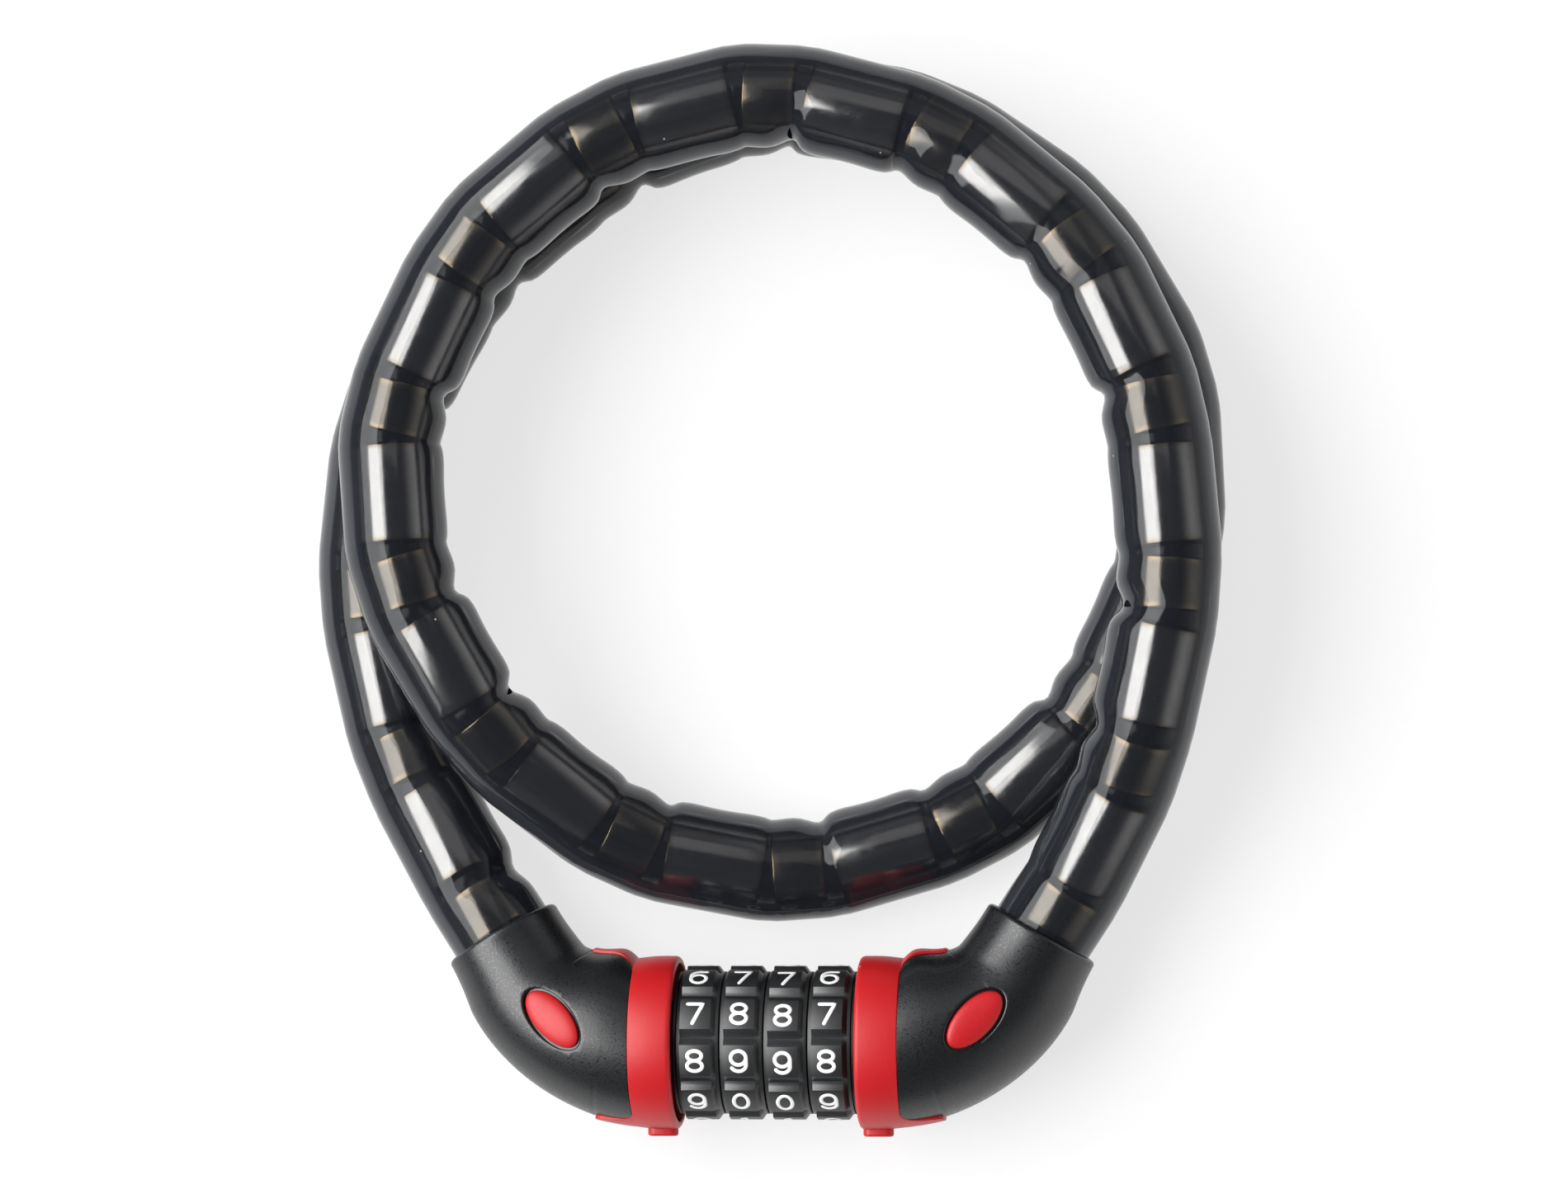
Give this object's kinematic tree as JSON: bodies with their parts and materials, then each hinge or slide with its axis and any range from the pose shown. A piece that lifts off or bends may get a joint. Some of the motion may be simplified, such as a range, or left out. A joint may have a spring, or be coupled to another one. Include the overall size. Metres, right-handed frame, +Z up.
{
  "type": "combination cable lock",
  "caption": "Armoured cable lock: a coiled smoky vinyl cable over steel sleeves, joined by a dial lock head between two tapered black elbows with red collars.",
  "frame": {"origin": "centre of the cable's loop, on the surface the lock lies on", "axes": "+Z up out of the surface and through the loop, +X along the lock head from the dial half to the plug half, +Y from the head across the loop"},
  "size_m": [0.1639, 0.1947, 0.037],
  "materials": {
    "housing": "satin, fine grained",
    "red_plastic": "satin, fine grained",
    "dial_plastic": "satin with white digits",
    "inner_plastic": "satin",
    "jacket_vinyl": "glossy, smoky and see-through",
    "armour_steel": "turned",
    "rope_steel": "stranded",
    "steel": "machined"
  },
  "bodies": {
    "dial_half": {"left_shell_front": "housing", "left_shell_back": "housing", "left_collar": "red_plastic", "left_oval": "red_plastic", "barrel": "inner_plastic", "barrel_cap": "inner_plastic", "left_anchor": "steel", "left_ferrule": "steel", "left_pin": "steel", "jacket": "jacket_vinyl", "wire_rope": "rope_steel", "long_sleeves_1": "armour_steel", "short_sleeves_1": "armour_steel", "long_sleeves_2": "armour_steel", "short_sleeves_2": "armour_steel", "long_sleeves_3": "armour_steel", "short_sleeves_3": "armour_steel", "long_sleeves_4": "armour_steel", "short_sleeves_4": "armour_steel"},
    "dial_1": {"number_dial_1": "dial_plastic", "gate_ring_1": "steel"},
    "dial_2": {"number_dial_2": "dial_plastic", "gate_ring_2": "steel"},
    "dial_3": {"number_dial_3": "dial_plastic", "gate_ring_3": "steel"},
    "dial_4": {"number_dial_4": "dial_plastic", "gate_ring_4": "steel"},
    "plug_half": {"right_shell_front": "housing", "right_shell_back": "housing", "right_collar": "red_plastic", "right_oval": "red_plastic", "bolt": "steel", "right_anchor": "steel", "right_ferrule": "steel", "right_pin": "steel"}
  },
  "joints": [
    {"name": "dial_1_turn", "type": "hinge", "parent": "dial_half", "child": "dial_1", "pos_m": [-0.01162, -0.0995, 0.01535], "axis": [1, 0, 0], "continuous": true},
    {"name": "dial_2_turn", "type": "hinge", "parent": "dial_half", "child": "dial_2", "pos_m": [-0.00387, -0.0995, 0.01535], "axis": [1, 0, 0], "continuous": true},
    {"name": "dial_3_turn", "type": "hinge", "parent": "dial_half", "child": "dial_3", "pos_m": [0.00387, -0.0995, 0.01535], "axis": [1, 0, 0], "continuous": true},
    {"name": "dial_4_turn", "type": "hinge", "parent": "dial_half", "child": "dial_4", "pos_m": [0.01162, -0.0995, 0.01535], "axis": [1, 0, 0], "continuous": true},
    {"name": "plug_pull", "type": "slide", "parent": "dial_half", "child": "plug_half", "axis": [1, 0, 0], "range_m": [0, 0.034], "deforming": ["jacket", "wire_rope", "long_sleeves_4", "short_sleeves_4"]}
  ]
}
